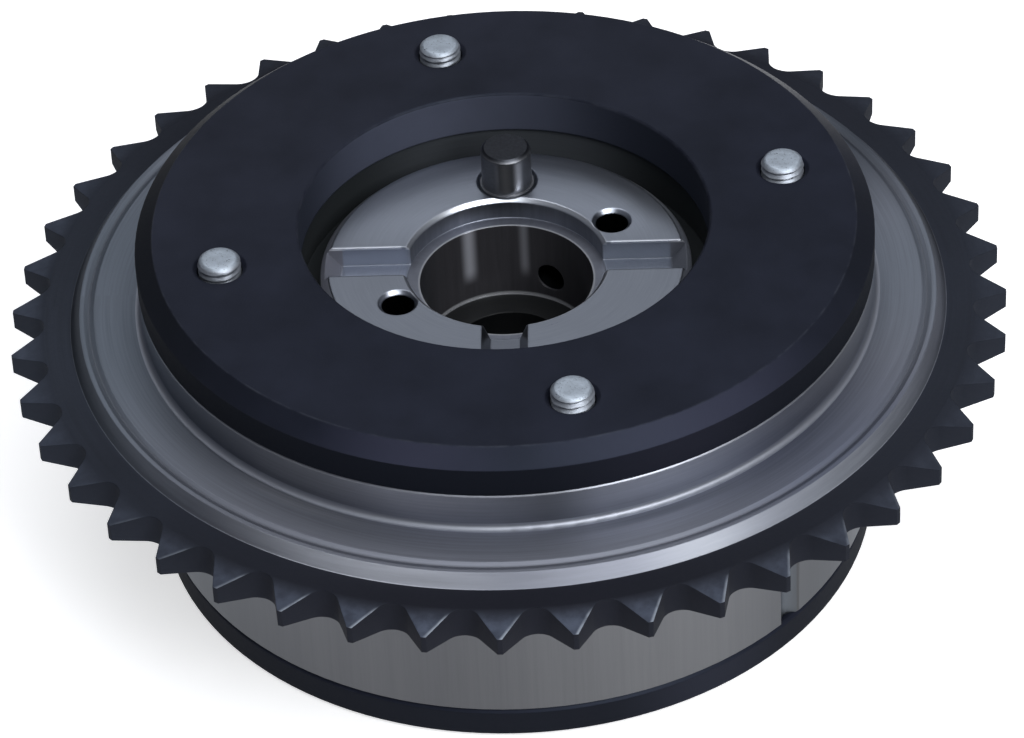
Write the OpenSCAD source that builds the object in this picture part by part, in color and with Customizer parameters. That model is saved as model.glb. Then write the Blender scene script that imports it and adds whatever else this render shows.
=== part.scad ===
// Vane-type camshaft phaser with an integral chain sprocket.
// Lengths in millimetres, angles in degrees. The axis is Z, the front cover stands on Z = 0
// and the camshaft side is up. The dowel pin stands on +Y.

/* [Sprocket] */
// number of sprocket teeth
teeth = 44; // [42:1:50]
// chain pitch
chain_pitch = 8; // [7.75:0.05:8.5]
// chain bush diameter
bush_d = 4; // [3.6:0.1:4.4]
// radial clearance of a bush in its seat
seat_clear = 0.03; // [0.02:0.01:0.08]
// tooth tip height above the pitch circle
tip_height = 1.93; // [1.6:0.01:2.3]
// tooth ring thickness
tooth_t = 3.9; // [3.4:0.1:4.6]
// tooth thickness left at the tip
tip_t = 2.2; // [1.6:0.1:2.8]
// radial width of the bevel on both sides of a tooth
tip_bevel = 3.9; // [3:0.1:4.4]
// angle of the tooth flank from the tooth gap's centre line
flank_angle = 36.5; // [33:0.5:38]
// angle from the X axis to the first tooth
tooth_angle = -0.35; // [-4:0.05:4]
// height of the tooth mid-plane above the front cover
tooth_level = 24.3; // [22:0.1:26]
// plain rim between the tooth roots and the flange bevel
rim_w = 3.07; // [2:0.01:4]

/* [Flange] */
// height of the flange face above the tooth mid-plane
flange_rise = 3.45; // [2.8:0.05:4.2]
// radial width of the flange bevel
flange_bevel = 1.14; // [0.6:0.02:1.8]
// land between the bevel and the turned groove
groove_land = 0.5; // [0.3:0.05:0.9]
// width of the turned groove in the flange face
groove_w = 1.2; // [0.6:0.05:1.6]
// depth of the turned groove
groove_depth = 0.25; // [0.1:0.05:0.5]
// fillet between the flange face and the body
flange_fillet = 0.7; // [0.3:0.05:1.2]

/* [Housing] */
// outside diameter of the housing body
body_d = 85.2; // [84:0.1:87]
// length of the housing body
housing_h = 32.6; // [31:0.1:36]
// wall between the chambers and the outside
housing_wall = 5.1; // [4:0.1:6]
// broken edge at both ends of the body
body_edge = 0.35; // [0.2:0.05:0.6]
// depth of the index groove in the side of the body
index_depth = 1; // [0.6:0.1:1.4]
// radius of the index groove's round floor
index_r = 1.8; // [1.5:0.1:2.4]
// angle of the index groove
index_angle = -41.6; // [-46:0.1:-38]

/* [Covers] */
// thickness of the rear cover
rear_t = 5.3; // [4.5:0.1:6.5]
// outside diameter of the rear cover
rear_d = 85.3; // [84:0.1:87]
// radial width of the rear cover's bevel
rear_bevel_w = 2.1; // [1:0.1:3]
// height of the rear cover's bevel
rear_bevel_h = 1.8; // [1:0.1:2.6]
// diameter of the opening in the rear cover
opening_d = 47.4; // [45:0.1:48.2]
// broken edge of the opening
opening_edge = 0.25; // [0.1:0.05:0.5]
// thickness of the front cover
front_t = 3.9; // [3.6:0.1:5]
// outside diameter of the front cover
front_d = 85; // [84:0.1:87]
// broken edge of the front cover
front_edge = 0.4; // [0.2:0.05:0.7]
// diameter of the front cover's bore
front_bore_d = 34; // [31:0.5:37]

/* [Screws] */
// screw diameter
screw_d = 5; // [4.5:0.1:5.4]
// screw circle diameter
screw_circle_d = 66.6; // [65.8:0.1:67.4]
// angle from the X axis to the first screw
screw_angle = 13.8; // [10:0.1:18]
// screw head diameter
screw_head_d = 9.6; // [8.6:0.1:10]
// depth of the screw head under the front face
screw_sink = 0.2; // [0.1:0.05:0.4]
// height of the screw end above the rear cover
screw_out = 1.3; // [0.6:0.05:1.6]
// bevel of the screw end
screw_tip = 0.5; // [0.2:0.05:0.8]
// hexagon socket across the flats
socket_af = 3; // [2.5:0.1:3.4]
// hexagon socket depth
socket_depth = 1.8; // [1.2:0.1:2]
// radial clearance around each screw
screw_clear = 0.1; // [0.05:0.01:0.2]
// bevel around each hole in the rear cover
hole_bevel = 0.5; // [0.2:0.05:0.8]

/* [Rotor] */
// seal land of the rotor outside the opening
seal_land = 3.8; // [3.2:0.1:4.2]
// depth of the hub face under the rear cover
hub_drop = 1.2; // [0.6:0.1:2]
// radius of the hub face
hub_face_r = 21.6; // [20.8:0.1:22.2]
// broken edge of the hub face
hub_edge = 1; // [0.4:0.05:1.3]
// depth of the ring groove around the hub face
hub_groove_depth = 4.3; // [3:0.1:6]
// lip of the rear cover over the ring groove
groove_lip = 0.5; // [0.2:0.05:0.9]
// camshaft bore diameter
bore_d = 20.2; // [19:0.1:20.8]
// camshaft bore depth
bore_depth = 10.3; // [9:0.1:12]
// counterbore diameter
cbore_d = 23.2; // [22.8:0.1:23.4]
// counterbore depth
cbore_depth = 2.7; // [1.8:0.1:3.2]
// broken edge of the counterbore
cbore_edge = 0.45; // [0.2:0.05:0.6]
// centre bolt hole diameter
bolt_d = 13.2; // [12.2:0.1:14.2]
// washer seat diameter
washer_d = 24; // [20:0.5:27]
// washer seat depth
washer_depth = 3; // [1.5:0.1:4]
// depth of the rotor's front boss under the front cover's face
boss_sink = 0.5; // [0.2:0.1:1]
// cross slot width
slot_w = 5.2; // [4.2:0.1:6]
// cross slot depth
slot_depth = 2.6; // [1.6:0.1:3]
// offset of the cross slots towards the dowel pin
slot_shift = 0.5; // [0:0.05:0.8]
// length of the ramp at the outer end of a cross slot
slot_ramp = 2; // [1:0.1:2.6]
// distance from the upper end of the ramp to the rim of the hub face
slot_land = 0.3; // [0.2:0.05:0.8]
// key notch width at the hub face
notch_w = 5.3; // [4.6:0.1:6]
// key notch width at its floor
notch_floor_w = 3.4; // [2.6:0.1:4.4]
// key notch depth
notch_depth = 2.2; // [1.4:0.1:2.8]
// oil hole diameter
oil_d = 3.8; // [3:0.1:4]
// oil hole circle radius
oil_r = 14.25; // [14:0.05:15]
// angle of the first oil hole
oil_angle = 30; // [26:0.5:34]
// oil hole depth
oil_depth = 20; // [18:0.5:22]
// rim bevel of the oil holes
oil_bevel = 0.45; // [0.3:0.05:0.6]
// depth of the oil holes under their radial passages
oil_sump = 0.4; // [0.2:0.1:1]
// diameter of the radial oil passages
port_d = 3.6; // [3:0.1:3.8]
// angle of the first passage that opens into the bore
port_angle = 60.9; // [59.9:0.1:63]
// depth of those passages under the hub face
port_drop = 9.7; // [9:0.1:10]

/* [Vanes] */
// vane width
vane_angle = 22; // [20:0.5:23]
// travel of the rotor
travel = 25; // [20:0.5:28]
// gap left at each stop
stop_gap = 0.3; // [0.2:0.05:0.6]
// gap between vane tip and chamber
tip_gap = 0.3; // [0.2:0.05:0.5]
// gap between lobe and rotor
lobe_gap = 0.3; // [0.2:0.05:0.5]
// end gap between rotor and each cover
end_gap = 0.05; // [0.03:0.01:0.1]
// radial clearance of the rotor's boss in the front cover
boss_clear = 0.05; // [0.03:0.01:0.09]

/* [Seals] */
// seal width
seal_w = 2.5; // [2:0.1:3]
// side clearance of a seal in its slot
seal_clear = 0.05; // [0.03:0.01:0.1]
// gap between a seal and the face it runs on
seal_gap = 0.05; // [0.03:0.01:0.1]
// depth of the slot in the vane
vane_slot = 2.6; // [2.2:0.1:2.8]
// depth of the slot in the lobe
lobe_slot = 2; // [1.8:0.05:2.1]
// room for the leaf spring behind a seal
leaf_room = 0.7; // [0.6:0.05:0.8]
// leaf spring thickness
leaf_t = 0.2; // [0.15:0.01:0.3]
// clearance of a bowed leaf spring at its ends and at its crown
leaf_clear = 0.02; // [0.01:0.01:0.04]
// leaf spring width
leaf_w = 2; // [1.6:0.1:2.2]
// leaf spring length
leaf_len = 26; // [22:0.5:29]

/* [Dowel pin] */
// dowel pin diameter where it is pressed in
pin_d = 6.4; // [6:0.1:6.6]
// reduction of the free end's diameter
pin_relief = 0.5; // [0.4:0.02:0.6]
// dowel pin circle radius
pin_r = 15.3; // [15.2:0.05:16]
// height of the pin above the hub face
pin_out = 5; // [3.5:0.1:5.4]
// depth of the pin in the rotor
pin_in = 10; // [8:0.5:12]
// depth of the pin's step under the hub face
pin_step = 0.05; // [0.03:0.01:0.1]
// bevel at the pin's free end
pin_bevel = 0.4; // [0.3:0.05:0.8]
// bevel around the pin's hole
pin_hole_bevel = 0.45; // [0.3:0.05:0.7]

/* [Lock pin] */
// lock pin diameter
lock_d = 6.4; // [6:0.1:6.6]
// lock pin running clearance
lock_clear = 0.03; // [0.02:0.01:0.06]
// distance from the floor of the seal slot in the vane to the lock pin's axis
lock_out = 4.4; // [4.2:0.05:4.8]
// lock pin length
lock_len = 18; // [15:0.5:20]
// travel of the lock pin
lock_travel = 2.3; // [1.8:0.1:2.4]
// nose diameter of the lock pin
nose_d = 5.6; // [5.2:0.1:5.9]
// bevel of the nose
nose_bevel = 0.4; // [0.2:0.05:0.6]
// nose length
nose_len = 2.8; // [2.5:0.1:3.4]
// clearance around the nose
nose_clear = 0.15; // [0.1:0.01:0.3]
// depth of the lock recess in the front cover
lock_pocket = 2.7; // [2.6:0.05:2.9]
// wall of the lock bush
bush_wall = 1.6; // [1.2:0.1:2]
// diameter of the spring pocket in the pin
pocket_d = 4.8; // [4.4:0.1:5]
// depth of the spring pocket
pocket_depth = 12; // [10:0.5:12.5]
// spring wire diameter
wire_d = 0.6; // [0.5:0.05:0.7]
// side clearance of the spring in its pocket
spring_clear = 0.2; // [0.15:0.05:0.3]
// thickness of the spring seat
seat_t = 2; // [1.5:0.1:2.6]
// step that the seat rests on
seat_step = 0.3; // [0.2:0.05:0.4]
// depth of the seat under the rotor's rear face
seat_sink = 0.35; // [0.2:0.05:0.6]
// vent hole in the seat
vent_d = 1.6; // [1:0.1:2]

/* [Hidden] */
$fn = 64;
eps = 0.5;
far = 100;
n = 4;
zf0 = front_t;
zr0 = zf0 + housing_h;
zr1 = zr0 + rear_t;
zm = zf0 + tooth_level;
z_ring_hi = zm + tooth_t / 2;
z_ring_lo = zm - tooth_t / 2;
z_flange = zm + flange_rise;
pitch_r = chain_pitch / (2 * sin(180 / teeth));
tip_r = pitch_r + tip_height;
seat_r = bush_d / 2 + seat_clear;
root_r = pitch_r - seat_r;
flange_r = root_r - rim_w;
face_r = flange_r - flange_bevel;
groove_r = face_r - groove_land - groove_w / 2;
body_r = body_d / 2;
chamber_r = body_r - housing_wall;
wall_r = body_r - housing_wall / 2;
opening_r = opening_d / 2;
hub_r = opening_r + seal_land;
lobe_r = hub_r + lobe_gap;
vane_r = chamber_r - tip_gap;
vane_floor = vane_r - vane_slot;
lock_pos = vane_floor - lock_out;
lobe_half = (360 / n - vane_angle - travel - 2 * stop_gap) / 2;
vane_mid = screw_angle + lobe_half + stop_gap + vane_angle / 2;
screw_r = screw_d / 2;
screw_pos = screw_circle_d / 2;
head_r = screw_head_d / 2;
rotor_lo = zf0 + end_gap;
rotor_hi = zr0 - end_gap;
hub_z = zr0 - hub_drop;
hub_groove_r = opening_r + groove_lip;
slot_end_r = hub_face_r - slot_land;
bore_top = hub_z - cbore_depth;
shoulder_z = bore_top - bore_depth;
boss_r = front_bore_d / 2 - boss_clear;
port_z = hub_z - port_drop;
lock_z0 = rotor_lo + end_gap;
lock_z1 = lock_z0 + lock_len;
spring_z0 = lock_z1 - pocket_depth;
seat_z1 = rotor_hi - seat_sink;
seat_z0 = seat_z1 - seat_t;
bush_in = nose_d / 2 + nose_clear;
bush_out = bush_in + bush_wall;
lobe_floor = lobe_r + lobe_slot;
slot_full = seal_w + 2 * seal_clear;
coil_r = pocket_d / 2 - spring_clear - wire_d / 2;
coil_turns = 9;
coil_steps = 12;
coil_sides = 6;

// plane wedge between two angles
module wedge(a0, a1) {
    polygon([[0, 0], [far * cos(a0), far * sin(a0)], [far * cos(a1), far * sin(a1)]]);
}

// part of a plane ring between two angles
module sector(r0, r1, a0, a1) {
    intersection() {
        difference() {
            circle(r = r1);
            circle(r = r0);
        }
        wedge(a0, a1);
    }
}

// places its children at each screw
module at_screws() {
    for (k = [0 : n - 1])
        rotate([0, 0, screw_angle + k * 360 / n])
            translate([screw_pos, 0, 0])
                children();
}

// one tooth gap, opening outwards along X
module tooth_gap() {
    w0 = seat_r * cos(flank_angle);
    x0 = pitch_r - seat_r * sin(flank_angle);
    reach = tip_height + seat_r;
    w1 = w0 + (reach + seat_r * sin(flank_angle)) * tan(flank_angle);
    translate([pitch_r, 0])
        circle(r = seat_r);
    polygon([[x0, -w0], [pitch_r + reach, -w1], [pitch_r + reach, w1], [x0, w0]]);
}

// toothed ring with both sides bevelled towards the tooth tips
module tooth_ring() {
    intersection() {
        translate([0, 0, z_ring_lo])
            linear_extrude(height = tooth_t)
                difference() {
                    circle(r = tip_r);
                    circle(r = wall_r);
                    for (k = [0 : teeth - 1])
                        rotate([0, 0, tooth_angle + (k + 0.5) * 360 / teeth])
                            tooth_gap();
                }
        rotate_extrude()
            polygon([[chamber_r, z_ring_lo], [tip_r - tip_bevel, z_ring_lo], [tip_r, zm - tip_t / 2],
                [tip_r, zm + tip_t / 2], [tip_r - tip_bevel, z_ring_hi], [chamber_r, z_ring_hi]]);
    }
}

// turned outline of the housing
module housing_outline() {
    polygon([[chamber_r, zf0], [body_r - body_edge, zf0], [body_r, zf0 + body_edge],
        [body_r, z_ring_lo], [flange_r, z_ring_lo], [flange_r, z_ring_hi], [face_r, z_flange],
        [groove_r + groove_w / 2, z_flange], [groove_r, z_flange - groove_depth],
        [groove_r - groove_w / 2, z_flange], [body_r, z_flange], [body_r, zr0 - body_edge],
        [body_r - body_edge, zr0], [chamber_r, zr0]]);
    difference() {
        translate([body_r - eps, z_flange - eps])
            square(eps + flange_fillet);
        translate([body_r + flange_fillet, z_flange + flange_fillet])
            circle(r = flange_fillet);
    }
}

module housing() {
    color([0.55, 0.55, 0.54])
    difference() {
        union() {
            rotate_extrude()
                housing_outline();
            translate([0, 0, zf0])
                linear_extrude(height = housing_h)
                    for (k = [0 : n - 1])
                        rotate([0, 0, screw_angle + k * 360 / n])
                            sector(lobe_r, wall_r, -lobe_half, lobe_half);
            tooth_ring();
        }
        translate([0, 0, zf0 - eps])
            at_screws()
                cylinder(r = screw_r + screw_clear, h = housing_h + 2 * eps);
        translate([0, 0, zf0 - eps])
            linear_extrude(height = housing_h + 2 * eps)
                for (k = [0 : n - 1])
                    rotate([0, 0, screw_angle + k * 360 / n])
                        translate([lobe_r - eps, -slot_full / 2])
                            square([eps + lobe_slot, slot_full]);
        rotate([0, 0, index_angle])
            translate([body_r - index_depth + index_r, 0, zf0 - eps])
                cylinder(r = index_r, h = z_ring_lo - zf0 + eps);
    }
}

module rear_cover() {
    color([0.10, 0.10, 0.12])
    difference() {
        rotate_extrude()
            polygon([[opening_r, zr0], [rear_d / 2, zr0], [rear_d / 2, zr1 - rear_bevel_h],
                [rear_d / 2 - rear_bevel_w, zr1], [opening_r + opening_edge, zr1],
                [opening_r, zr1 - opening_edge]]);
        at_screws() {
            translate([0, 0, zr0 - eps])
                cylinder(r = screw_r + screw_clear, h = rear_t + 2 * eps);
            translate([0, 0, zr1 - hole_bevel])
                cylinder(r1 = screw_r + screw_clear, r2 = screw_r + screw_clear + 2 * hole_bevel,
                    h = 2 * hole_bevel);
        }
    }
}

module front_cover() {
    color([0.09, 0.09, 0.10])
    difference() {
        rotate_extrude()
            polygon([[front_bore_d / 2, 0], [front_d / 2 - front_edge, 0], [front_d / 2, front_edge],
                [front_d / 2, zf0 - front_edge], [front_d / 2 - front_edge, zf0],
                [front_bore_d / 2, zf0]]);
        at_screws() {
            translate([0, 0, -eps])
                cylinder(r = screw_r + screw_clear, h = zf0 + 2 * eps);
            translate([0, 0, -eps])
                cylinder(r1 = head_r + screw_clear + screw_sink + eps, r2 = screw_r + screw_clear,
                    h = head_r - screw_r + screw_sink + eps);
        }
        rotate([0, 0, vane_mid])
            translate([lock_pos, 0, zf0 - lock_pocket])
                cylinder(r = bush_out, h = lock_pocket + eps);
        rotate([0, 0, vane_mid + travel])
            translate([lock_pos, 0, zf0 - lock_pocket])
                cylinder(r = bush_in, h = lock_pocket + eps);
    }
}

module cover_screws() {
    color([0.72, 0.72, 0.70])
    at_screws()
        difference() {
            union() {
                translate([0, 0, screw_sink])
                    cylinder(r1 = head_r, r2 = screw_r, h = head_r - screw_r);
                translate([0, 0, screw_sink + head_r - screw_r])
                    cylinder(r = screw_r, h = zr1 + screw_out - screw_tip - screw_sink - head_r + screw_r);
                translate([0, 0, zr1 + screw_out - screw_tip])
                    cylinder(r1 = screw_r, r2 = screw_r - screw_tip, h = screw_tip);
            }
            translate([0, 0, screw_sink - eps])
                cylinder(r = socket_af / 2 / cos(30), h = socket_depth + eps, $fn = 6);
        }
}

// plane outline of the rotor's hub and vanes
module rotor_outline() {
    difference() {
        union() {
            circle(r = hub_r);
            for (k = [0 : n - 1])
                rotate([0, 0, vane_mid + k * 360 / n])
                    sector(hub_r - eps, vane_r, -vane_angle / 2, vane_angle / 2);
        }
        for (k = [0 : n - 1])
            rotate([0, 0, vane_mid + k * 360 / n])
                translate([vane_floor, -slot_full / 2])
                    square([vane_slot + eps, slot_full]);
    }
}

module rotor() {
    color([0.66, 0.66, 0.64])
    difference() {
        union() {
            translate([0, 0, rotor_lo])
                linear_extrude(height = rotor_hi - rotor_lo)
                    rotor_outline();
            translate([0, 0, boss_sink])
                cylinder(r = boss_r, h = rotor_lo - boss_sink + eps);
        }
        rotate_extrude()
            polygon([[0, hub_z], [hub_face_r - hub_edge, hub_z], [hub_face_r, hub_z - hub_edge],
                [hub_face_r, hub_z - hub_groove_depth], [hub_groove_r, hub_z - hub_groove_depth],
                [hub_groove_r, rotor_hi + eps], [0, rotor_hi + eps]]);
        translate([0, 0, bore_top])
            cylinder(d = cbore_d, h = cbore_depth + eps);
        translate([0, 0, hub_z - cbore_edge])
            cylinder(r1 = cbore_d / 2, r2 = cbore_d / 2 + 2 * cbore_edge, h = 2 * cbore_edge);
        translate([0, 0, shoulder_z])
            cylinder(d = bore_d, h = bore_depth + eps);
        cylinder(d = bolt_d, h = zr0);
        translate([0, 0, boss_sink - eps])
            cylinder(d = washer_d, h = washer_depth + eps);
        translate([0, slot_shift + slot_w / 2, hub_z])
            rotate([90, 0, 0])
                linear_extrude(height = slot_w)
                    for (m = [0, 1])
                        mirror([m, 0])
                            polygon([[bore_d / 2 - eps, -slot_depth], [slot_end_r - slot_ramp, -slot_depth],
                                [slot_end_r, 0], [slot_end_r, eps], [bore_d / 2 - eps, eps]]);
        translate([0, -bore_d / 2 + eps, hub_z])
            rotate([90, 0, 0])
                linear_extrude(height = hub_face_r - bore_d / 2 + 2 * eps)
                    polygon([[-notch_floor_w / 2, -notch_depth], [notch_floor_w / 2, -notch_depth],
                        [notch_w / 2, 0], [notch_w / 2, eps], [-notch_w / 2, eps], [-notch_w / 2, 0]]);
        translate([0, pin_r, hub_z - pin_in]) {
            cylinder(d = pin_d, h = pin_in + eps);
            translate([0, 0, pin_in - pin_hole_bevel])
                cylinder(r1 = pin_d / 2, r2 = pin_d / 2 + 2 * pin_hole_bevel, h = 2 * pin_hole_bevel);
        }
        for (s = [0, 180])
            rotate([0, 0, oil_angle + s]) {
                translate([oil_r, 0, hub_z - oil_depth])
                    cylinder(d = oil_d, h = oil_depth + eps);
                translate([oil_r, 0, hub_z - oil_bevel])
                    cylinder(r1 = oil_d / 2, r2 = oil_d / 2 + 2 * oil_bevel, h = 2 * oil_bevel);
                translate([oil_r, 0, hub_z - oil_depth + port_d / 2 + oil_sump])
                    rotate([0, 90, 0])
                        cylinder(d = port_d, h = hub_r - oil_r + eps);
            }
        for (s = [0, 180])
            rotate([0, 0, port_angle + s])
                translate([bore_d / 2 - eps, 0, port_z])
                    rotate([0, 90, 0])
                        cylinder(d = port_d, h = hub_r - bore_d / 2 + 2 * eps);
        rotate([0, 0, vane_mid]) {
            translate([lock_pos, 0, rotor_lo - eps])
                cylinder(r = lock_d / 2 + lock_clear, h = rotor_hi - rotor_lo + 2 * eps);
            translate([lock_pos, 0, seat_z0])
                cylinder(r = lock_d / 2 + lock_clear + seat_step, h = seat_t + seat_sink + eps);
        }
    }
}

module dowel_pin() {
    color([0.60, 0.60, 0.60])
    translate([0, pin_r, hub_z]) {
        translate([0, 0, -pin_in])
            cylinder(d = pin_d, h = pin_in - pin_step);
        translate([0, 0, -pin_step])
            cylinder(d = pin_d - pin_relief, h = pin_step + pin_out - pin_bevel);
        translate([0, 0, pin_out - pin_bevel])
            cylinder(d1 = pin_d - pin_relief, d2 = pin_d - pin_relief - 2 * pin_bevel, h = pin_bevel);
    }
}

module lock_pin() {
    color([0.70, 0.70, 0.68])
    rotate([0, 0, vane_mid])
        translate([lock_pos, 0, 0])
            rotate_extrude()
                polygon([[0, lock_z0], [nose_d / 2 - nose_bevel, lock_z0], [nose_d / 2, lock_z0 + nose_bevel],
                    [nose_d / 2, lock_z0 + nose_len], [lock_d / 2, lock_z0 + nose_len],
                    [lock_d / 2, lock_z1], [pocket_d / 2, lock_z1], [pocket_d / 2, spring_z0],
                    [0, spring_z0]]);
}

// point on one ring of the coil
function coil_point(i, j) =
    let (a = 360 * i / coil_steps, b = 360 * j / coil_sides,
        z0 = spring_z0 + wire_d / 2,
        z = z0 + (seat_z0 - spring_z0 - wire_d) * i / (coil_turns * coil_steps),
        r = coil_r + wire_d / 2 * cos(b))
    [r * cos(a), r * sin(a), z + wire_d / 2 * sin(b)];

module lock_spring() {
    rings = coil_turns * coil_steps;
    pts = [for (i = [0 : rings], j = [0 : coil_sides - 1]) coil_point(i, j)];
    sides = [for (i = [0 : rings - 1], j = [0 : coil_sides - 1])
        [i * coil_sides + j, (i + 1) * coil_sides + j,
            (i + 1) * coil_sides + (j + 1) % coil_sides, i * coil_sides + (j + 1) % coil_sides]];
    ends = [[for (j = [0 : coil_sides - 1]) j],
        [for (j = [coil_sides - 1 : -1 : 0]) rings * coil_sides + j]];
    color([0.62, 0.62, 0.60])
    rotate([0, 0, vane_mid])
        translate([lock_pos, 0, 0])
            polyhedron(points = pts, faces = concat(sides, ends), convexity = 10);
}

module lock_seat() {
    color([0.58, 0.58, 0.57])
    rotate([0, 0, vane_mid])
        translate([lock_pos, 0, seat_z0])
            difference() {
                cylinder(r = lock_d / 2 + lock_clear + seat_step, h = seat_t);
                translate([0, 0, -eps])
                    cylinder(d = vent_d, h = seat_t + 2 * eps);
            }
}

module lock_bush() {
    color([0.64, 0.64, 0.62])
    rotate([0, 0, vane_mid])
        translate([lock_pos, 0, zf0 - lock_pocket])
            difference() {
                cylinder(r = bush_out, h = lock_pocket);
                translate([0, 0, -eps])
                    cylinder(r = bush_in, h = lock_pocket + 2 * eps);
            }
}

// seal in the tip of vane k
module vane_seal(k) {
    color([0.20, 0.19, 0.18])
    rotate([0, 0, vane_mid + k * 360 / n])
        translate([0, 0, rotor_lo])
            linear_extrude(height = rotor_hi - rotor_lo)
                intersection() {
                    circle(r = chamber_r - seal_gap, $fn = 360);
                    translate([vane_floor + leaf_room, -seal_w / 2])
                        square([vane_slot, seal_w]);
                }
}

// seal in lobe k
module lobe_seal(k) {
    color([0.20, 0.19, 0.18])
    rotate([0, 0, screw_angle + k * 360 / n])
        translate([0, 0, zf0 + end_gap])
            linear_extrude(height = housing_h - 2 * end_gap)
                difference() {
                    translate([hub_r - eps, -seal_w / 2])
                        square([lobe_floor - leaf_room - hub_r + eps, seal_w]);
                    circle(r = hub_r + seal_gap, $fn = 360);
                }
}

// bowed leaf spring, its ends on X = 0 and its crown at X = leaf_room
module leaf() {
    rise = leaf_room - leaf_t - 2 * leaf_clear;
    bow = (leaf_len * leaf_len / 4 + rise * rise) / (2 * rise);
    rotate([90, 0, 0])
        translate([0, 0, -leaf_w / 2])
            linear_extrude(height = leaf_w)
                intersection() {
                    translate([leaf_room - leaf_clear - bow, 0])
                        difference() {
                            circle(r = bow, $fn = 256);
                            circle(r = bow - leaf_t, $fn = 256);
                        }
                    translate([-eps, -leaf_len / 2])
                        square([leaf_room + 2 * eps, leaf_len]);
                }
}

// leaf spring behind the seal of vane k
module vane_spring(k) {
    color([0.68, 0.68, 0.66])
    rotate([0, 0, vane_mid + k * 360 / n])
        translate([vane_floor, 0, (rotor_lo + rotor_hi) / 2])
            leaf();
}

// leaf spring behind the seal of lobe k
module lobe_spring(k) {
    color([0.68, 0.68, 0.66])
    rotate([0, 0, screw_angle + k * 360 / n])
        translate([lobe_floor, 0, zf0 + housing_h / 2])
            mirror([1, 0, 0])
                leaf();
}

housing();
rear_cover();
front_cover();
cover_screws();
rotor();
dowel_pin();
lock_pin();
lock_spring();
lock_seat();
lock_bush();
vane_seal(0);  // vane_seal_1
vane_seal(1);  // vane_seal_2
vane_seal(2);  // vane_seal_3
vane_seal(3);  // vane_seal_4
vane_spring(0);  // vane_spring_1
vane_spring(1);  // vane_spring_2
vane_spring(2);  // vane_spring_3
vane_spring(3);  // vane_spring_4
lobe_seal(0);  // lobe_seal_1
lobe_seal(1);  // lobe_seal_2
lobe_seal(2);  // lobe_seal_3
lobe_seal(3);  // lobe_seal_4
lobe_spring(0);  // lobe_spring_1
lobe_spring(1);  // lobe_spring_2
lobe_spring(2);  // lobe_spring_3
lobe_spring(3);  // lobe_spring_4
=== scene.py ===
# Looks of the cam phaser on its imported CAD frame. Sizes are in millimetres, and MM turns them into metres.
import math

import bmesh
import bpy
from mathutils import Matrix, Vector


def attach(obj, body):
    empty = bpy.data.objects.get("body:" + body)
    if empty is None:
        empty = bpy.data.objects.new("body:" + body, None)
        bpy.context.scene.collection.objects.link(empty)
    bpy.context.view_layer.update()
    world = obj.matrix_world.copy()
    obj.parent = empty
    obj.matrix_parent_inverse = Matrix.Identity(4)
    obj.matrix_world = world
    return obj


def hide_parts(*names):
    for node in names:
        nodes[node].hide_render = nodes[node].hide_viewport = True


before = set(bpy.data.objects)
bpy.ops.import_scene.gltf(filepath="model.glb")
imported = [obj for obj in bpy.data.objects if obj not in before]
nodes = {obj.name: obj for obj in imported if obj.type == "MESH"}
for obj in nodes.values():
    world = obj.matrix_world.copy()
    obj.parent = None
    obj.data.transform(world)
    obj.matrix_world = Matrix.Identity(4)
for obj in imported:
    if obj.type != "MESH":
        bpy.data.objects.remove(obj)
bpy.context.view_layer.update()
scene = bpy.context.scene
MM = 0.001

# Radii, heights and angles repeated from the CAD source
R_TIP, R_BEVEL, R_FLANGE, R_FACE, R_GROOVE = 58.0, 54.1, 50.97, 49.83, 48.73
R_BODY, R_COVER, R_CHAMBER, R_OPEN = 42.6, 40.55, 37.5, 23.7
R_HUB, R_RAMP, R_CBORE, R_BORE, R_BOLT = 21.6, 19.3, 11.6, 10.1, 6.6
Z_COVER, Z_TOP, Z_HUB, Z_CBORE, Z_FLANGE = 41.8, 36.5, 35.3, 32.6, 31.65
Z_RING, Z_RING_LO, Z_SHOULDER = 28.2, 26.25, 22.3
FILLET, SLOT_EDGE, INDEX_ANGLE = 0.7, 3.1, -41.6
TEETH, TOOTH_ANGLE = 44, -0.35
OIL_CIRCLE, OIL_R, OIL_ANGLES = 14.25, 1.9, (30, 210)
PIN_CIRCLE, PIN_TOP = 15.3, 40.3
SCREW_R, SCREW_CIRCLE, SCREW_ANGLE, SCREW_END = 2.5, 33.3, 13.8, 43.1
SCREW_SINK, SCREW_HEAD, SOCKET_R, SOCKET_DEPTH = 0.2, 4.8, 1.5, 1.8

# Straight line near the teeth's flanks: half the width at the tip, and its gain per mm further in
TIP_HALF, FLANK_SLOPE = 0.27, 0.67
# Threads of the screws: pitch, lower end and length of the fading upper end
THREAD_PITCH, THREAD_START, THREAD_FADE = 0.8, 38.4, 0.6
# Reflection of blackened surfaces, and its tints
DARK_GLOSS, BLUED_TINT, STEEL_TINT = 0.16, (0.62, 0.74, 1.0), (0.92, 0.95, 1.0)


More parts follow.
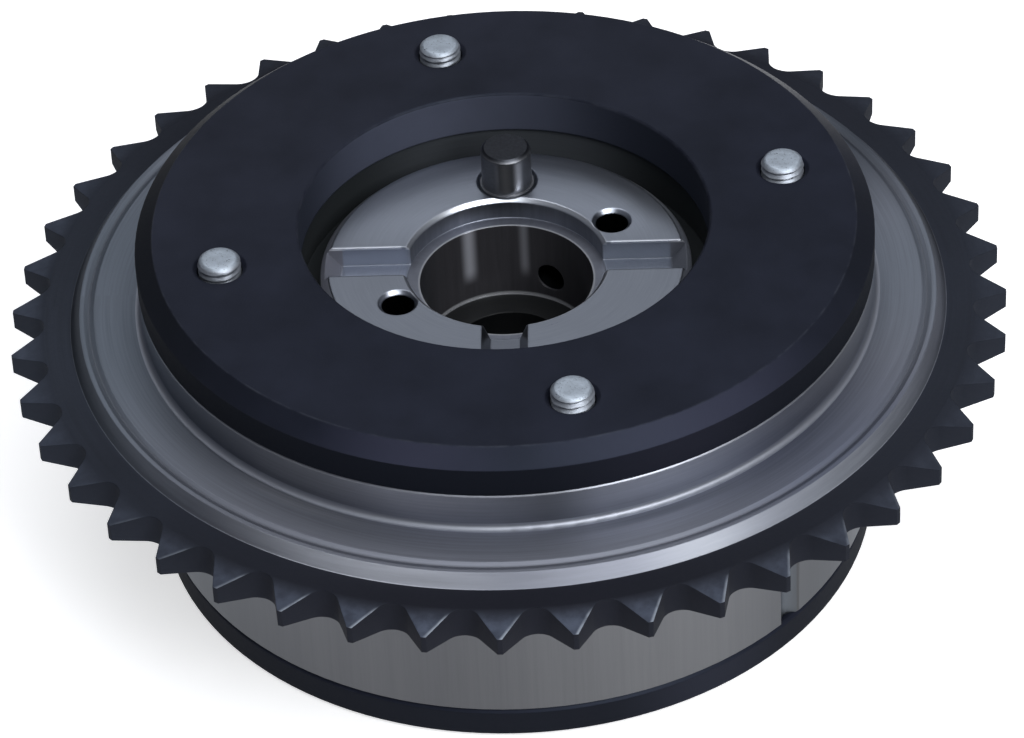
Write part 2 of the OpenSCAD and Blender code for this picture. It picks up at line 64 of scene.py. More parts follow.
class Mat:
    """A node material, built from short calls on the object's own coordinates."""

    def __init__(self, name):
        self.m = bpy.data.materials.new(name)
        self.m.use_nodes = True
        self.t = self.m.node_tree
        self.t.nodes.clear()
        out = self.t.nodes.new("ShaderNodeOutputMaterial")
        self.bsdf = self.t.nodes.new("ShaderNodeBsdfPrincipled")
        self.t.links.new(self.bsdf.outputs[0], out.inputs[0])
        coord = self.t.nodes.new("ShaderNodeTexCoord")
        self.facing = coord.outputs["Normal"]
        scaled = self.t.nodes.new("ShaderNodeVectorMath")
        scaled.operation = "SCALE"
        self.put(scaled.inputs[0], coord.outputs["Object"])
        scaled.inputs["Scale"].default_value = 1 / MM
        # the place, its x, y and z, the radius and the angle about Z, in millimetres and radians
        self.p = scaled.outputs[0]
        self.x, self.y, self.z = self.split(self.p)
        self.r = self.length(self.x, self.y)
        self.a = self.math("ARCTAN2", self.y, self.x)

    def put(self, socket, v):
        if isinstance(v, bpy.types.NodeSocket):
            self.t.links.new(v, socket)
        elif socket.type == "RGBA" and len(v) == 3:
            socket.default_value = (*v, 1)
        else:
            socket.default_value = v

    def set(self, **kw):
        for k, v in kw.items():
            self.put(self.bsdf.inputs[k.replace("_", " ")], v)

    def math(self, op, a, b=0.0, c=0.0):
        n = self.t.nodes.new("ShaderNodeMath")
        n.operation = op
        for i, v in enumerate((a, b, c)):
            self.put(n.inputs[i], v)
        return n.outputs[0]

    def mul(self, *parts):
        """Product of masks and numbers."""
        out = parts[0]
        for part in parts[1:]:
            out = self.math("MULTIPLY", out, part)
        return out

    def most(self, *masks):
        """The greatest of several masks."""
        out = masks[0]
        for mask in masks[1:]:
            out = self.math("MAXIMUM", out, mask)
        return out

    def ramp(self, x, gain, start):
        """start plus gain times x."""
        return self.math("MULTIPLY_ADD", x, gain, start)

    def less(self, a, b):
        return self.math("SUBTRACT", a, b)

    def invert(self, mask):
        return self.less(1.0, mask)

    def abs(self, x):
        return self.math("ABSOLUTE", x)

    def length(self, x, y):
        return self.math("SQRT", self.math("MULTIPLY_ADD", x, x, self.math("MULTIPLY", y, y)))

    def vec(self, x, y, z):
        n = self.t.nodes.new("ShaderNodeCombineXYZ")
        for i, v in enumerate((x, y, z)):
            self.put(n.inputs[i], v)
        return n.outputs[0]

    def split(self, vector):
        n = self.t.nodes.new("ShaderNodeSeparateXYZ")
        self.put(n.inputs[0], vector)
        return n.outputs

    def band(self, x, lo, hi, a=0.0, b=1.0):
        """a at lo, b at hi, smooth between them and level beyond. lo may be the greater of the two."""
        n = self.t.nodes.new("ShaderNodeMapRange")
        n.interpolation_type = "SMOOTHSTEP"
        for k, v in (("Value", x), ("From Min", lo), ("From Max", hi), ("To Min", a), ("To Max", b)):
            self.put(n.inputs[k], v)
        return n.outputs[0]

    def near(self, x, at, half):
        """1 at a value, falling to 0 half away from it."""
        return self.band(self.abs(self.less(x, at)), 0.0, half, 1.0, 0.0)

    def toward(self, degrees, spread):
        """1 at an angle about Z, falling to 0 spread radians away from it."""
        return self.near(self.a, math.radians(degrees), spread)

    def mirrored(self, degrees, spread):
        """The same at an angle and at its mirror image across X."""
        return self.near(self.abs(self.a), math.radians(degrees), spread)

    def up(self):
        """1 on faces that look up or lean back, 0 on walls."""
        return self.band(self.split(self.facing)[2], 0.25, 0.6)

    def noise(self, vector, scale, detail=2.0, rough=0.5):
        n = self.t.nodes.new("ShaderNodeTexNoise")
        self.put(n.inputs["Vector"], vector)
        n.inputs["Scale"].default_value = scale
        n.inputs["Detail"].default_value = detail
        n.inputs["Roughness"].default_value = rough
        return n.outputs["Fac"]

    def turning(self, wind, *noise):
        """Rings left by turning. The smaller wind is, the longer they run."""
        place = self.vec(self.math("ADD", self.r, self.z), self.mul(self.a, wind), 0.0)
        return self.noise(place, *noise)

    def grinding(self, across, along, shift, *noise):
        """Lines along Z, as ground or honed."""
        return self.noise(self.vec(self.mul(self.a, across), self.mul(self.z, along), shift), *noise)

    def mix(self, fac, a, b):
        n = self.t.nodes.new("ShaderNodeMix")
        n.data_type = "RGBA"
        # inputs 6 and 7 and output 2 are the node's colours
        self.put(n.inputs[0], fac)
        self.put(n.inputs[6], a)
        self.put(n.inputs[7], b)
        return n.outputs[2]

    def tint(self, colour, fac, amount):
        """Colour made lighter or darker by amount as fac goes from 0 to 1."""
        lo = tuple(c * (1 - amount) for c in colour)
        hi = tuple(c * (1 + amount) for c in colour)
        return self.mix(fac, lo, hi)

    def fillet(self, centre_r, centre_z):
        """World normal of a turned inside fillet: towards its own centre line."""
        k = self.math("DIVIDE", self.less(centre_r, self.r), self.r)
        n = self.t.nodes.new("ShaderNodeVectorTransform")
        n.vector_type, n.convert_from, n.convert_to = "NORMAL", "OBJECT", "WORLD"
        rise = self.less(centre_z, self.z)
        self.put(n.inputs[0], self.vec(self.mul(self.x, k), self.mul(self.y, k), rise))
        return n.outputs[0]

    def bump(self, *layers, edge=0.0, smooth=None):
        """Layers of (height, strength, distance in mm), on normals rounded by edge mm.
        smooth is a mask and the normal that counts there."""
        normal = None
        if edge:
            n = self.t.nodes.new("ShaderNodeBevel")
            n.samples = 4
            n.inputs["Radius"].default_value = edge * MM
            normal = n.outputs[0]
        if smooth:
            n = self.t.nodes.new("ShaderNodeMix")
            n.data_type = "VECTOR"
            # inputs 4 and 5 and output 1 are the node's vectors
            self.put(n.inputs[0], smooth[0])
            self.put(n.inputs[4], normal)
            self.put(n.inputs[5], smooth[1])
            normal = n.outputs[1]
        for height, strength, distance in layers:
            n = self.t.nodes.new("ShaderNodeBump")
            n.inputs["Strength"].default_value = strength
            n.inputs["Distance"].default_value = distance * MM
            self.put(n.inputs["Height"], height)
            if normal is not None:
                self.put(n.inputs["Normal"], normal)
            normal = n.outputs[0]
        self.put(self.bsdf.inputs["Normal"], normal)


# Blackened covers
def black_cover():
    g = Mat("black_cover")
    z, r = g.z, g.r
    wall = g.invert(g.up())
    cloud = g.noise(g.p, 0.11, 4, 0.6)
    grain = g.noise(g.p, 2.2, 3, 0.6)
    turned = g.turning(0.7, 5.0, 3, 0.65)
    # oxide with a painted sheen, paler towards the back, with fine specks and rubbed edges
    back_sheen = g.band(g.ramp(g.x, -0.5, g.y), -15.0, 40.0)
    plain_oxide = g.tint((0.0106, 0.0120, 0.0200), cloud, 0.6)
    base = g.mix(back_sheen, plain_oxide, g.tint((0.0136, 0.0150, 0.0230), cloud, 0.6))
    base = g.mix(g.mul(g.band(grain, 0.55, 0.8), 0.35), base, (0.022, 0.024, 0.033))
    outer_edge = g.mul(g.near(r, R_COVER, 0.22), g.band(z, Z_COVER - 0.2, Z_COVER - 0.05))
    inner_edge = g.mul(g.near(r, R_OPEN, 0.35), g.band(z, Z_COVER - 0.4, Z_COVER - 0.1))
    wear = g.mul(g.most(outer_edge, inner_edge), g.band(g.noise(g.p, 0.5, 3), 0.35, 0.7))
    base = g.mix(g.mul(wear, 0.3), base, (0.06, 0.065, 0.08))
    # wall of the opening, with a painted highlight on one side
    rear_plate = g.band(z, Z_TOP - 0.1, Z_TOP + 0.1)
    opening = g.mul(wall, g.band(r, R_OPEN + 0.9, R_OPEN + 0.5), rear_plate)
    light = g.tint((0.068, 0.075, 0.106), cloud, 0.25)
    base = g.mix(opening, base, g.mix(g.toward(110, 1.1), (0.02, 0.023, 0.034), light))
    # outer walls of the two plates, with painted light paler at the right of the front
    rim = g.mul(wall, g.band(r, R_BODY - 0.6, R_BODY - 0.3))
    rear = g.mix(g.toward(-63, 0.42), (0.004, 0.0046, 0.0075), (0.0105, 0.0108, 0.0175))
    front = g.mix(g.toward(-58, 0.32), (0.006, 0.0068, 0.0105), (0.0145, 0.0160, 0.0245))
    base = g.mix(rim, base, g.mix(g.band(z, 6.0, 30.0), front, rear))
    # outer bevel, with painted shade at the two sides and a painted sheen at the front
    bevel = g.mul(g.band(r, R_COVER - 0.05, R_COVER + 0.15), rear_plate)
    left = g.mul(bevel, g.mirrored(180, 1.3))
    base = g.mix(g.mul(left, 0.8), base, (0.0015, 0.0019, 0.0028))
    bevel_shade = g.most(left, g.mul(bevel, g.toward(-4, 0.85)))
    base = g.mix(g.mul(bevel_shade, 0.62), base, (0.0020, 0.0024, 0.0036))
    bevel_sheen = g.mul(bevel, g.invert(wall), g.most(g.toward(-58, 0.5), g.toward(-104, 0.32)))
    base = g.mix(g.mul(bevel_sheen, 0.68), base, (0.030, 0.031, 0.051))
    rough = g.ramp(cloud, 0.1, g.ramp(grain, 0.16, 0.33))
    rough = g.ramp(g.most(wall, bevel_shade), 0.35, rough)
    g.set(Base_Color=base, Roughness=rough, Specular_IOR_Level=DARK_GLOSS, Specular_Tint=BLUED_TINT)
    g.bump((turned, 0.10, 0.02), (grain, 0.12, 0.03), edge=0.3)
    return g.m


# Housing: bright turned flange, ground body, blackened tooth ring
def housing_steel():
    g = Mat("housing_steel")
    z, r, a = g.z, g.r, g.a
    up = g.up()
    # where each finish lies
    ring = g.mul(g.band(r, R_FLANGE - 0.02, R_FLANGE + 0.06), g.band(z, Z_FLANGE + 0.25, Z_FLANGE - 0.05))
    under = g.mul(g.band(z, Z_RING_LO + 0.25, Z_RING_LO + 0.05), g.band(r, R_BODY + 0.4, R_BODY + 0.8))
    black = g.most(ring, under)
    lower = g.mul(g.band(z, Z_RING_LO + 0.15, Z_RING_LO - 0.05), g.band(r, R_BODY + 0.6, R_BODY + 0.3))
    strip = g.mul(g.band(z, Z_FLANGE + 0.35, Z_FLANGE + 0.85), g.band(r, R_BODY + 0.8, R_BODY + 0.2))
    inside = g.band(r, R_CHAMBER + 1.5, R_CHAMBER + 1.0)
    face = g.band(r, R_FACE + 0.05, R_FACE - 0.05)
    slope = g.invert(face)
    inner = g.band(r, R_BODY + 2.6, R_BODY + 1.6)
    groove = g.mul(g.near(r, R_GROOVE, 0.3), g.band(z, Z_FLANGE + 0.05, Z_FLANGE - 0.05))
    corner = g.mul(g.band(r, R_BODY + FILLET + 0.02, R_BODY + FILLET),
                   g.band(z, Z_FLANGE - 0.06, Z_FLANGE - 0.02),
                   g.band(z, Z_FLANGE + FILLET + 0.02, Z_FLANGE + FILLET))
    flat = g.mul(g.band(z, Z_FLANGE + 0.25, Z_FLANGE + 0.05), g.band(r, R_BODY + 0.6, R_BODY + 1.0))
    # machining lines and mottling
    turned = g.turning(0.5, 4.2, 4, 0.7)
    fine = g.turning(0.3, 11.0, 2, 0.6)
    axial = g.grinding(R_BODY, 0.02, 0.0, 1.6, 5, 0.7)
    broad = g.grinding(14.0, 0.02, 3.0, 0.6, 2)
    cloud = g.noise(g.p, 0.06, 3)
    grain = g.noise(g.p, 1.8, 3, 0.65)
    lines = g.math("ADD", g.mul(turned, g.invert(lower)), g.mul(axial, lower))

    def honed(colour, amount=0.18):
        return g.tint(colour, axial, amount)

    # turned flange, with lighter and darker zones of painted light and shade round its face, outer slope and
    # inner edge
    steel = g.tint((0.225, 0.236, 0.275), lines, 0.32)
    painted_light_zones = ((g.toward(2, 0.55), face, (0.222, 0.244, 0.285)),
             (g.toward(-41, 0.5), face, (0.170, 0.184, 0.236)),
             (g.mirrored(170, 0.9), 1.0, (0.178, 0.203, 0.240)),
             (g.toward(34, 0.4), face, (0.090, 0.100, 0.120)),
             (g.toward(-68, 0.35), inner, (0.135, 0.142, 0.168)),
             (g.toward(-120, 0.3), inner, (0.300, 0.312, 0.350)),
             (g.mirrored(180, 0.75), slope, (0.085, 0.093, 0.108)),
             (g.toward(20, 0.5), slope, (0.100, 0.106, 0.120)),
             (g.toward(-110, 0.42), slope, (0.580, 0.600, 0.660)),
             (g.toward(-63, 0.22), slope, (0.330, 0.345, 0.385)),
             (g.toward(-38, 0.5), slope, (0.360, 0.380, 0.430)))
    for side, where, colour in painted_light_zones:
        steel = g.mix(g.mul(side, where), steel, g.tint(colour, lines, 0.32))
    # strip of the body under the rear cover, in painted shade, with painted light by the angle
    steel = g.mix(g.mul(strip, 0.42), steel, (0.135, 0.138, 0.150))
    strip_light_zones = ((-56, 0.6, (0.315, 0.328, 0.370)), (-22, 0.5, (0.340, 0.345, 0.365)),
                   (-105, 0.3, (0.330, 0.340, 0.385)), (-83, 0.15, (0.120, 0.125, 0.140)))
    for degrees, spread, colour in strip_light_zones:
        steel = g.mix(g.mul(strip, g.toward(degrees, spread)), steel, g.tint(colour, lines, 0.2))
    # ground body below the teeth, with painted light and shade round it, and the index groove
    ground = g.mix(broad, honed((0.088, 0.090, 0.098)), honed((0.114, 0.116, 0.124)))
    ground = g.mix(g.mul(g.toward(-62, 0.7), 0.65), ground, honed((0.165, 0.168, 0.176)))
    ground = g.mix(g.toward(-27, 0.5), ground, honed((0.077, 0.078, 0.081)))
    ground = g.mix(g.mirrored(180, 1.1), ground, honed((0.097, 0.103, 0.107)))
    index = g.mul(lower, g.band(r, R_BODY - 0.1, R_BODY - 0.3), g.toward(INDEX_ANGLE, 0.08))
    ground = g.mix(index, ground, honed((0.108, 0.120, 0.136), 0.1))
    base = g.mix(lower, steel, ground)
    # painted shade in the groove on the flange
    base = g.mix(g.mul(groove, 0.5), base, (0.12, 0.126, 0.145))
    # bluing, with a painted sheen in two shades that change with the angle, on the ring's upper faces and on
    # its walls
    side_sheen = g.mul(g.math("POWER", g.math("COSINE", a), 2.0), g.band(g.x, -10.0, 45.0, 1.0, 0.72))
    mottle = g.ramp(turned, 0.6, g.mul(cloud, 0.4))
    top_dark = g.tint((0.0060, 0.0065, 0.0114), mottle, 0.5)
    top_pale = g.tint((0.0187, 0.0224, 0.0322), mottle, 0.6)
    wall_dark = g.tint((0.0108, 0.0117, 0.0175), cloud, 0.35)
    wall_pale = g.tint((0.0170, 0.0205, 0.0295), cloud, 0.35)
    bluing = g.mix(side_sheen, top_dark, top_pale)
    bluing = g.mix(g.mul(ring, g.invert(up)), bluing, g.mix(side_sheen, wall_dark, wall_pale))
    # tooth bevels, with a painted sheen strongest at the front
    bevel_sheen = g.ramp(g.toward(-90, 1.15), 0.76, g.ramp(g.mirrored(180, 0.9), 0.42, 0.17))
    facet = g.mul(ring, up, g.band(r, R_BEVEL - 0.3, R_BEVEL + 2.6), bevel_sheen)
    scuff = g.band(g.noise(g.p, 0.7, 3, 0.55), 0.25, 0.75, 0.55, 1.0)
    bluing = g.mix(g.mul(scuff, facet), bluing, (0.096, 0.112, 0.153))
    # bright line along one edge of each bevel, partly wear and partly a painted highlight
    pitch = 2 * math.pi / TEETH
    count = g.math("DIVIDE", g.less(a, math.radians(TOOTH_ANGLE)), pitch)
    aside = g.mul(g.less(count, g.math("ROUND", count)), g.mul(r, pitch))
    flank = g.ramp(g.less(R_TIP, r), FLANK_SLOPE, TIP_HALF)
    wear_and_glint = g.band(g.less(flank, aside), 0.5, 0.08)
    wear_and_glint = g.mul(wear_and_glint, ring, up, g.band(r, R_BEVEL + 0.5, R_BEVEL + 1.7), g.toward(-88, 1.1))
    wear_and_glint = g.mul(wear_and_glint, g.band(g.noise(g.p, 0.5, 3, 0.5), 0.3, 0.6, 0.4, 1.0))
    bluing = g.mix(g.mul(wear_and_glint, 0.8), bluing, (0.40, 0.44, 0.50))
    base = g.mix(black, base, bluing)
    base = g.mix(g.mul(inside, 0.6), base, (0.10, 0.104, 0.115))
    # painted highlight: the fillet is made lighter
    base = g.mix(corner, base, (0.33, 0.345, 0.39))
    metal = g.most(g.invert(black), g.mul(facet, 0.8), wear_and_glint)
    speckle = g.mul(grain, black)
    rough = g.ramp(speckle, 0.2, g.ramp(lines, 0.18, 0.30))
    rough = g.ramp(g.most(flat, corner), 0.12, g.ramp(groove, 0.15, rough))
    rough = g.ramp(g.mul(black, g.invert(up)), 0.35, rough)
    g.set(Base_Color=base, Metallic=metal, Roughness=rough)
    g.set(Specular_IOR_Level=DARK_GLOSS, Specular_Tint=STEEL_TINT)
    g.bump((lines, 0.24, 0.03), (g.mul(fine, g.invert(lower)), 0.16, 0.015), (speckle, 0.25, 0.05),
           edge=0.2, smooth=(corner, g.fillet(R_BODY + FILLET, Z_FLANGE + FILLET)))
    return g.m


# Rotor: finely turned hub, polished bore
def rotor_steel():
    g = Mat("rotor_steel")
    x, y, z, r = g.x, g.y, g.z, g.r
    up = g.up()
    bore = g.mul(g.band(r, R_BORE + 0.3, R_BORE + 0.1), g.band(z, Z_CBORE + 0.1, Z_CBORE - 0.1))
    outer = g.band(r, R_HUB - 0.1, R_HUB + 0.1)
    turned = g.turning(0.4, 5.0, 4, 0.7)
    axial = g.grinding(10.0, 0.05, 0.0, 1.4, 4, 0.65)
    cloud = g.noise(g.p, 0.14, 3)
    grain = g.noise(g.p, 2.4, 3, 0.65)
    # face, with a painted sheen lighter at the back
    near_face = g.tint((0.325, 0.35, 0.40), turned, 0.16)
    base = g.mix(g.band(y, 0.0, 9.0), near_face, g.tint((0.445, 0.48, 0.55), turned, 0.16))
    base = g.mix(g.mul(cloud, 0.3), base, (0.25, 0.265, 0.30))
    # floors and walls of the slots in painted shade, the left slot painted as lit, the ramps at their ends
    # painted lighter, and the key notch a little darker
    sunk = g.mul(g.band(z, Z_HUB - 0.05, Z_HUB - 0.25), g.band(r, R_CBORE + 0.1, R_CBORE + 0.3),
                 g.band(r, R_HUB, R_HUB - 0.2))
    notch = g.band(y, -9.0, -10.0)
    slope = g.mul(sunk, g.band(r, R_RAMP - 0.1, R_RAMP + 0.2), g.invert(notch))
    lit = g.mul(sunk, g.band(x, -11.0, -12.0))
    base = g.mix(g.mul(sunk, g.ramp(notch, 0.03, 0.3)), base, (0.06, 0.064, 0.08))
    base = g.mix(lit, base, g.mix(up, (0.235, 0.256, 0.305), g.tint((0.40, 0.425, 0.49), turned, 0.16)))
    base = g.mix(slope, base, g.mix(lit, (0.15, 0.16, 0.19), (0.135, 0.14, 0.17)))
    # painted highlight along the upper edges of the slots
    edge = g.mul(g.near(y, SLOT_EDGE + 0.05, 0.32), g.band(g.abs(x), R_CBORE + 0.4, R_CBORE + 0.8),
                 g.band(z, Z_HUB - 0.4, Z_HUB - 0.2))
    base = g.mix(g.mul(edge, 0.7), base, (0.80, 0.83, 0.90))
    # painted shade, softly darker towards the back rim
    rear = g.mul(g.band(r, 16.6, 19.6), g.band(x, -12.0, -2.0))
    rear = g.mul(g.most(rear, g.band(r, 19.4, R_HUB)), g.band(y, 3.0, 10.0))
    base = g.mix(g.mul(rear, 0.6), base, (0.16, 0.17, 0.19))
    # counterbore: wall in painted shade at the back, dull seat, painted highlights on the edges
    step = g.mul(g.invert(up), g.near(r, R_CBORE, 0.35), g.band(z, Z_CBORE, Z_CBORE + 0.15))
    bright = g.tint((0.285, 0.305, 0.355), axial, 0.3)
    base = g.mix(step, base, g.mix(g.toward(94, 0.6), bright, g.tint((0.115, 0.123, 0.140), axial, 0.3)))
    seat = g.mul(up, g.band(r, R_CBORE + 0.1, R_CBORE - 0.1), g.band(z, Z_CBORE + 0.6, Z_CBORE + 0.3))
    base = g.mix(seat, base, g.tint((0.19, 0.20, 0.235), axial, 0.2))
    rim = g.mul(g.near(r, R_CBORE + 0.25, 0.4), g.band(z, Z_HUB - 0.5, Z_HUB - 0.3))
    lip = g.mul(g.near(r, R_BORE + 0.05, 0.24), g.near(z, Z_CBORE, 0.25))
    base = g.mix(g.mul(g.most(rim, lip), 0.7), base, (0.85, 0.88, 0.93))
    # bore: dark wall with two painted glints and a side in painted shade, a painted highlight on the corner,
    # over a ledge and bolt hole in painted shade
    tube = g.tint((0.056, 0.055, 0.062), axial, 0.35)
    tube = g.mix(g.mirrored(180, 0.8), tube, (0.026, 0.029, 0.034))
    streak = g.most(g.toward(117.4, 0.13), g.mul(g.toward(79.4, 0.09), 0.45))
    tube = g.mix(g.mul(streak, g.band(z, Z_SHOULDER + 2.2, Z_SHOULDER + 4.7)), tube, (0.42, 0.43, 0.48))
    arc = g.mul(g.near(z, Z_SHOULDER + 0.2, 0.35), g.band(r, R_BORE - 0.3, R_BORE - 0.1))
    tube = g.mix(arc, tube, (0.4, 0.41, 0.43))
    ledge = g.mul(g.band(z, Z_SHOULDER + 0.2, Z_SHOULDER + 0.05), g.band(r, R_BORE - 0.1, R_BORE - 0.2))
    tube = g.mix(ledge, tube, g.tint((0.016, 0.017, 0.018), turned, 0.3))
    hole = g.mul(g.band(z, Z_SHOULDER, Z_SHOULDER - 0.2), g.band(r, R_BOLT + 0.3, R_BOLT + 0.1))
    tube = g.mix(hole, tube, (0.006, 0.007, 0.008))
    base = g.mix(bore, base, tube)
    # painted shade: the oil passages and the rotor below the counterbore stay dark inside
    deep = g.mul(g.band(r, R_BORE + 0.12, R_BORE + 0.3), g.band(z, Z_CBORE - 0.1, Z_CBORE - 0.5),
                 g.band(r, 19.0, 18.5))
    for degrees in OIL_ANGLES:
        cx, cy = (OIL_CIRCLE * f(math.radians(degrees)) for f in (math.cos, math.sin))
        off = g.length(g.less(x, cx), g.less(y, cy))
        port = g.mul(g.band(off, OIL_R + 0.15, OIL_R + 0.02), g.band(z, Z_HUB - 0.3, Z_HUB - 0.6))
        deep = g.most(deep, port)
    base = g.mix(g.mul(deep, 0.95), base, (0.006, 0.007, 0.009))
    # what shows of the rotor round its hub, in painted shade, darker at the sides
    shade = g.tint((0.046, 0.051, 0.058), turned, 0.3)
    shade = g.mix(g.band(g.abs(x), 8.0, 19.0), shade, (0.021, 0.024, 0.026))
    base = g.mix(outer, base, shade)
    rough = g.ramp(g.most(step, seat), 0.2, g.ramp(turned, 0.12, 0.24))
    metal = g.mul(g.ramp(bore, -0.55, 1.0), g.invert(g.most(outer, g.mul(slope, 0.8))))
    g.set(Base_Color=base, Metallic=metal, Roughness=rough, Specular_IOR_Level=0.3)
    g.bump((g.mix(bore, turned, axial), 0.14, 0.02), (grain, 0.10, 0.03), edge=0.25)
    return g.m


# Pins, with painted glints along the free end of the dowel pin
def pin_steel():
    g = Mat("pin_steel")
    z = g.z
    lines = g.noise(g.vec(g.x, g.y, g.mul(z, 6.0)), 1.6, 4, 0.65)
    grain = g.noise(g.p, 2.6, 3, 0.6)
    base = g.tint((0.215, 0.222, 0.24), lines, 0.35)
    about = g.math("ARCTAN2", g.less(g.y, PIN_CIRCLE), g.x)
    glint_bands = [g.mul(g.near(about, math.radians(degrees), half), weight)
               for degrees, half, weight in ((-61, 0.3, 1.0), (-109, 0.2, 0.35), (-92, 0.34, 0.8))]
    glint = g.mul(g.most(*glint_bands), g.band(z, Z_HUB, Z_HUB + 0.6), g.band(z, PIN_TOP - 0.3, PIN_TOP - 0.8))
    base = g.mix(g.mul(glint, 0.72), base, (0.75, 0.75, 0.77))
    base = g.mix(g.band(z, PIN_TOP - 0.5, PIN_TOP - 0.1), base, g.tint((0.045, 0.048, 0.056), grain, 0.45))
    g.set(Base_Color=base, Metallic=1.0, Roughness=g.ramp(grain, 0.2, 0.3))
    g.bump((lines, 0.14, 0.02), (grain, 0.2, 0.04), edge=0.12)
    return g.m


# Screws: pitted, and a little darker below their ends
def screw_steel():
    g = Mat("screw_steel")
    cloud = g.noise(g.p, 0.9, 4, 0.6)
    pits = g.noise(g.p, 3.2, 3, 0.7)
    base = g.tint((0.455, 0.51, 0.575), cloud, 0.3)
    base = g.mix(g.band(pits, 0.42, 0.30), base, (0.12, 0.13, 0.15))
    shank = g.tint((0.38, 0.41, 0.46), cloud, 0.4)
    base = g.mix(g.band(g.z, SCREW_END - 0.12, SCREW_END - 0.4), base, shank)
    g.set(Base_Color=base, Metallic=0.85, Roughness=g.ramp(cloud, 0.2, 0.4))
    g.bump((pits, 0.35, 0.08), (cloud, 0.2, 0.1), edge=0.1)
    return g.m


# Springs and seals, hidden inside
def spring_steel():
    g = Mat("spring_steel")
    drawn = g.noise(g.vec(g.mul(g.x, 4.0), g.mul(g.y, 4.0), g.z), 1.5, 3, 0.6)
    base = g.tint((0.30, 0.305, 0.32), drawn, 0.35)
    g.set(Base_Color=base, Metallic=1.0, Roughness=g.ramp(drawn, 0.15, 0.25))
    g.bump((drawn, 0.15, 0.02))
    return g.m


def seal_plastic():
    g = Mat("seal_plastic")
    fibre = g.noise(g.vec(g.x, g.y, g.mul(g.z, 0.15)), 3.0, 3, 0.6)
    grain = g.noise(g.p, 4.0, 2, 0.5)
    base = g.tint((0.045, 0.041, 0.037), fibre, 0.4)
    g.set(Base_Color=base, Roughness=g.ramp(grain, 0.15, 0.42))
    g.bump((fibre, 0.2, 0.02), (grain, 0.15, 0.02))
    return g.m


def use(material, *names):
    for name in names:
        slots = nodes[name].data.materials
        slots.clear()
        slots.append(material)


def four(stem):
    return [f"{stem}_{k}" for k in range(1, 5)]


use(black_cover(), "rear_cover", "front_cover")
use(housing_steel(), "housing")
use(rotor_steel(), "rotor")
use(pin_steel(), "dowel_pin", "lock_pin", "lock_seat", "lock_bush")
use(spring_steel(), "lock_spring", *four("vane_spring"), *four("lobe_spring"))
use(seal_plastic(), *four("vane_seal"), *four("lobe_seal"))
screw_mat = screw_steel()
use(screw_mat, "cover_screws")


def add(name, mesh, material):
    mesh.materials.append(material)
    o = bpy.data.objects.new(name, mesh)
    scene.collection.objects.link(o)
    return o


# Cover screws: sunk heads with sockets, and threads cut at their ends
def screw(name, place, turn, cut):
    seg, layer, chamfer, sharp = 64, 0.1, 0.15, 32
    bm = bmesh.new()
    rings = []

    def hexagon(t):
        return SOCKET_R / math.cos((math.degrees(t) + 30) % 60 * math.pi / 180 - math.pi / 6)

    def ring(radius, height):
        verts = []
        for i in range(seg):
            t = 2 * math.pi * i / seg
            rr = radius(t) if callable(radius) else radius
            verts.append(bm.verts.new((rr * math.cos(t) * MM, rr * math.sin(t) * MM, height * MM)))
        rings.append(verts)

    def thread(height):
        run_in = min(1, (height - (THREAD_START - layer)) / THREAD_PITCH)
        taper = max(0.0, height - (SCREW_END - THREAD_FADE)) ** 1.5 * 1.2

        def radius(t):
            phase = (height / THREAD_PITCH - t / (2 * math.pi)) % 1
            depth = cut * (1 - abs(2 * phase - 1)) * run_in
            return SCREW_R - max(depth * (1 - taper), taper)
        return radius

    # socket with its drill point, head and shank
    ring(lambda t: 0.3 * hexagon(t), SCREW_SINK + SOCKET_DEPTH + 0.4)
    ring(hexagon, SCREW_SINK + SOCKET_DEPTH)
    ring(hexagon, SCREW_SINK + chamfer)
    ring(lambda t: hexagon(t) + chamfer, SCREW_SINK)
    ring(SCREW_HEAD - chamfer, SCREW_SINK)
    ring(SCREW_HEAD, SCREW_SINK + 0.12)
    ring(SCREW_R, SCREW_SINK + SCREW_HEAD - SCREW_R)
    ring(SCREW_R, THREAD_START - 2 * layer)
    # thread and slightly hollow end
    layers = [THREAD_START + layer * k for k in range(int((SCREW_END - THREAD_START) / layer))]
    for height in layers + [SCREW_END - 0.05]:
        ring(thread(height), height)
    for radius, drop in ((1.86, 0.0), (1.2, 0.015), (0.5, 0.01)):
        ring(radius, SCREW_END - drop)
    for a, b in zip(rings, rings[1:]):
        for i in range(seg):
            j = (i + 1) % seg
            bm.faces.new((a[i], a[j], b[j], b[i]))
    bm.faces.new(list(reversed(rings[0])))
    bm.faces.new(rings[-1])
    bmesh.ops.recalc_face_normals(bm, faces=bm.faces)
    bmesh.ops.transform(bm, matrix=Matrix.Translation(place) @ Matrix.Rotation(turn, 4, "Z"), verts=bm.verts)
    me = bpy.data.meshes.new(name)
    bm.to_mesh(me)
    bm.free()
    me.shade_smooth()
    me.set_sharp_from_angle(angle=math.radians(sharp))
    o = add(name, me, screw_mat)
    return o


# Turn in degrees and depth of the thread, for each screw
THREADS = ((140, 0.42), (20, 0.26), (250, 0.22), (80, 0.5))
for k, (turn, cut) in enumerate(THREADS):
    ang = math.radians(SCREW_ANGLE + 90 * k)
    place = Vector((SCREW_CIRCLE * math.cos(ang) * MM, SCREW_CIRCLE * math.sin(ang) * MM, 0))
    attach(screw(f"cover_screw_{k + 1}", place, math.radians(turn), cut), "housing")
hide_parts("cover_screws")


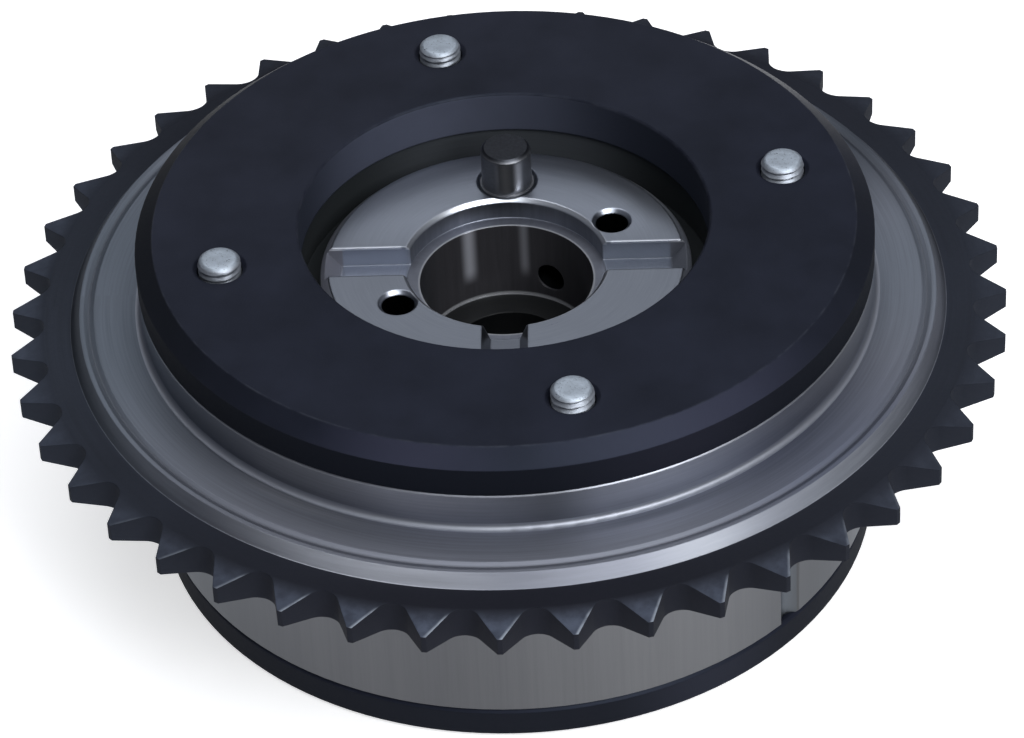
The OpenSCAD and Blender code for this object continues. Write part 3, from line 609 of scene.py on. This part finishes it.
# Pale floor, darker far from the object
def floor():
    half_width, drop = 3.0, 0.2 * MM
    g = Mat("pale_floor")
    far = g.band(g.r, 180.0, 520.0)
    fine = g.noise(g.p, 0.06, 2)
    base = g.mix(far, g.tint((0.84, 0.84, 0.845), fine, 0.006), g.tint((0.36, 0.37, 0.39), fine, 0.01))
    g.set(Base_Color=base, Roughness=0.85)
    g.set(Emission_Color=g.mix(far, (1, 1, 1), (0.12, 0.125, 0.135)), Emission_Strength=0.6)
    bm = bmesh.new()
    bmesh.ops.create_grid(bm, x_segments=8, y_segments=8, size=half_width)
    me = bpy.data.meshes.new("floor")
    bm.to_mesh(me)
    bm.free()
    o = add("floor", me, g.m)
    o.location.z = -drop


floor()


# Camera fitted to the photograph, placed in millimetres from the middle of the tooth ring
def camera():
    distance, elevation = 582.808, math.radians(38.981)
    azimuth, roll = math.radians(2.4), math.radians(-2.954)
    focal_px, width_px, sensor = 4989.127, 1024, 36
    aim = Vector((0.0807, -11.0915, 0))
    eye = Vector((0, -distance * math.cos(elevation), distance * math.sin(elevation)))
    forward = (aim - eye).normalized()
    level = forward.cross(Vector((0, 0, 1))).normalized()
    upright = level.cross(forward)
    right = math.cos(roll) * level + math.sin(roll) * upright
    up = math.cos(roll) * upright - math.sin(roll) * level
    turn = Matrix.Rotation(azimuth, 3, "Z")
    facing = turn @ Matrix((right, up, -forward)).transposed()
    cam = bpy.data.cameras.new("camera")
    cam.sensor_width = sensor
    cam.sensor_fit = "HORIZONTAL"
    cam.lens = focal_px * sensor / width_px
    cam.clip_start = 0.01
    o = bpy.data.objects.new("camera", cam)
    place = (turn @ eye + Vector((0, 0, Z_RING))) * MM
    o.matrix_world = Matrix.Translation(place) @ facing.to_4x4()
    scene.collection.objects.link(o)
    scene.camera = o


camera()


# Soft studio light, placed by azimuth (0 at the camera's side, positive to its right) and elevation
def softbox(name, azimuth, elevation, distance, size, power, colour):
    target = Vector((0, 0, 0.03))
    light = bpy.data.lights.new(name, "AREA")
    light.shape = "RECTANGLE"
    light.size, light.size_y = size
    light.energy = power
    light.color = colour
    o = bpy.data.objects.new(name, light)
    az, el = math.radians(azimuth - 90), math.radians(elevation)
    d = Vector((math.cos(el) * math.cos(az), math.cos(el) * math.sin(az), math.sin(el)))
    o.location = d * distance + target
    o.rotation_euler = d.to_track_quat("Z", "Y").to_euler()
    scene.collection.objects.link(o)


softbox("key", 38, 42, 1.0, (0.5, 0.5), 6.5, (0.97, 0.985, 1.0))
softbox("top", 180, 78, 1.1, (0.9, 0.9), 4.4, (0.95, 0.97, 1.0))
softbox("front", 5, 52, 1.2, (0.6, 0.4), 2.6, (0.96, 0.98, 1.0))
softbox("back", 175, 38, 1.3, (1.6, 0.5), 0.8, (0.9, 0.94, 1.0))


# Dim sky, brighter overhead
def studio():
    world = bpy.data.worlds.new("studio")
    world.use_nodes = True
    sky = world.node_tree
    coord = sky.nodes.new("ShaderNodeTexCoord")
    part = sky.nodes.new("ShaderNodeSeparateXYZ")
    level = sky.nodes.new("ShaderNodeMapRange")
    for k, v in (("From Min", 0.05), ("From Max", 0.7), ("To Min", 0.07), ("To Max", 0.2)):
        level.inputs[k].default_value = v
    glow = sky.nodes["Background"].inputs
    glow["Color"].default_value = (0.85, 0.89, 1.0, 1)
    sky.links.new(coord.outputs["Generated"], part.inputs[0])
    sky.links.new(part.outputs[2], level.inputs["Value"])
    sky.links.new(level.outputs[0], glow["Strength"])
    scene.world = world
    scene.view_settings.view_transform = "Standard"
    scene.view_settings.look = "None"


studio()
